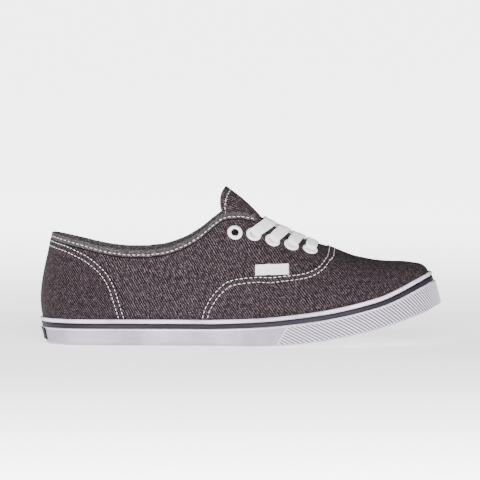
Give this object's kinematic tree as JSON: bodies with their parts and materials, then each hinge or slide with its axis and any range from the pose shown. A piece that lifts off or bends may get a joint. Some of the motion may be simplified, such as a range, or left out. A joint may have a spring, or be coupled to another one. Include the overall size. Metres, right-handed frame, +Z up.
{
  "type": "skateboarding shoe",
  "caption": "Low canvas lace-up skateboarding shoe for the right foot, with a white rubber cupped side band, dark stripe, toe bumper and flat laces.",
  "frame": {"origin": "middle of the shoe's bounding box in plan, on the floor that it stands on", "axes": "+X towards the toe, +Y towards the inner side of the foot, +Z up"},
  "size_m": [0.2766, 0.0994, 0.1084],
  "materials": {
    "canvas": "matt twill weave",
    "lining": "matt cotton",
    "white_rubber": "satin vulcanised rubber",
    "dark_rubber": "satin rubber",
    "lace": "flat woven cotton",
    "eyelet_enamel": "gloss enamel"
  },
  "bodies": {
    "root": {"outsole": "white_rubber", "foxing": "white_rubber", "pinstripe": "dark_rubber", "toe_bumper": "white_rubber", "heel_patch": "dark_rubber", "insole": "lining", "upper": "canvas", "vamp": "canvas", "heel_counter": "canvas", "collar_binding": "canvas", "tongue": "canvas", "side_label": "lace", "lace_crossing_second": "lace", "lace_crossing_third": "lace", "lace_crossing_fourth": "lace", "lace_bar_bottom": "lace", "eyelet_outer_1": "eyelet_enamel", "eyelet_outer_2": "eyelet_enamel", "eyelet_outer_3": "eyelet_enamel", "eyelet_outer_4": "eyelet_enamel", "eyelet_outer_5": "eyelet_enamel", "eyelet_inner_1": "eyelet_enamel", "eyelet_inner_2": "eyelet_enamel", "eyelet_inner_3": "eyelet_enamel", "eyelet_inner_4": "eyelet_enamel", "eyelet_inner_5": "eyelet_enamel"}
  },
  "joints": []
}
